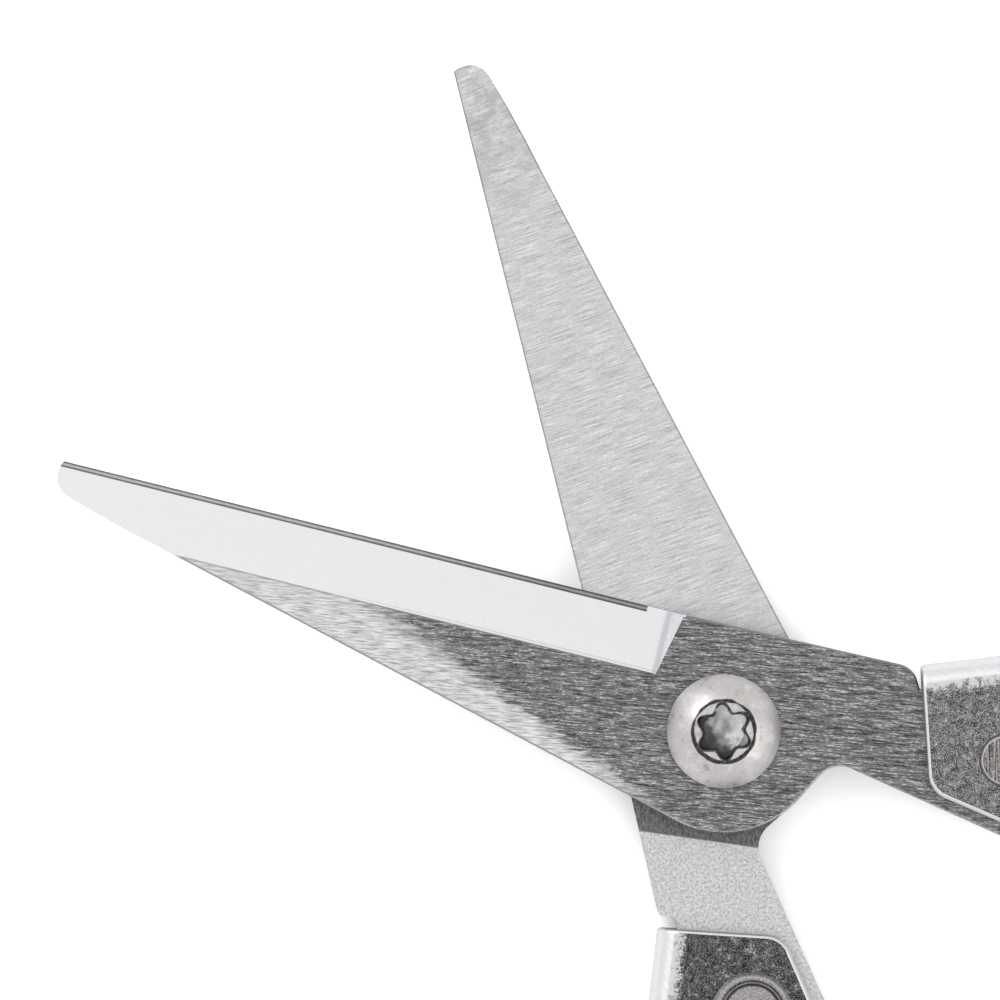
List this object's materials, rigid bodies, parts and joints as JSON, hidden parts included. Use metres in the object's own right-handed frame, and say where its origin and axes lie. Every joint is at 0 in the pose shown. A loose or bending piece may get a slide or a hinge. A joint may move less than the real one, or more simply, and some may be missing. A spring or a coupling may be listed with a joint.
{
  "type": "thread snips",
  "caption": "Spring-loaded thread snips: two riveted channel handles turn two short pointed blades on a six-lobe pivot screw, with a catch at the handle ends.",
  "frame": {"origin": "on the pivot axis, on the flat back of the pivot nut, in the plane that the snips rest on", "axes": "+Y along the mid-line towards the blade tips, +Z along the pivot axis out of the screw's head, rest pose fully open"},
  "size_m": [0.075, 0.0883, 0.0048],
  "materials": {
    "blade_steel": "ground and brushed",
    "handle_steel": "polished, lightly scratched",
    "screw_steel": "satin turned",
    "rivet_steel": "formed and turned",
    "spring_steel": "drawn wire",
    "catch_steel": "stamped"
  },
  "bodies": {
    "rear_half": {"rear_blade": "blade_steel", "rear_handle_shell": "handle_steel", "rear_handle_front_rivet": "rivet_steel", "rear_handle_rear_rivet": "rivet_steel", "rear_handle_spring_pin": "rivet_steel", "pivot_nut": "screw_steel", "pivot_screw": "screw_steel", "opening_spring": "spring_steel", "catch_rivet": "rivet_steel", "catch_washer": "catch_steel"},
    "front_half": {"front_blade": "blade_steel", "front_handle_shell": "handle_steel", "front_handle_front_rivet": "rivet_steel", "front_handle_rear_rivet": "rivet_steel", "front_handle_spring_pin": "rivet_steel", "catch_stud": "rivet_steel"},
    "catch": {"catch_hook": "catch_steel"}
  },
  "joints": [
    {"name": "pivot", "type": "hinge", "parent": "rear_half", "child": "front_half", "pos_m": [0, 0, 0.002], "axis": [0, 0, 1], "range_deg": [-49, 0], "stiffness_Nm_per_rad": 0.16, "springref_deg": 11.46, "deforming": ["opening_spring"]},
    {"name": "catch_pivot", "type": "hinge", "parent": "rear_half", "child": "catch", "pos_m": [-0.03263, -0.04992, 0.00105], "axis": [0, 0, -1], "range_deg": [0, 97.9]}
  ]
}
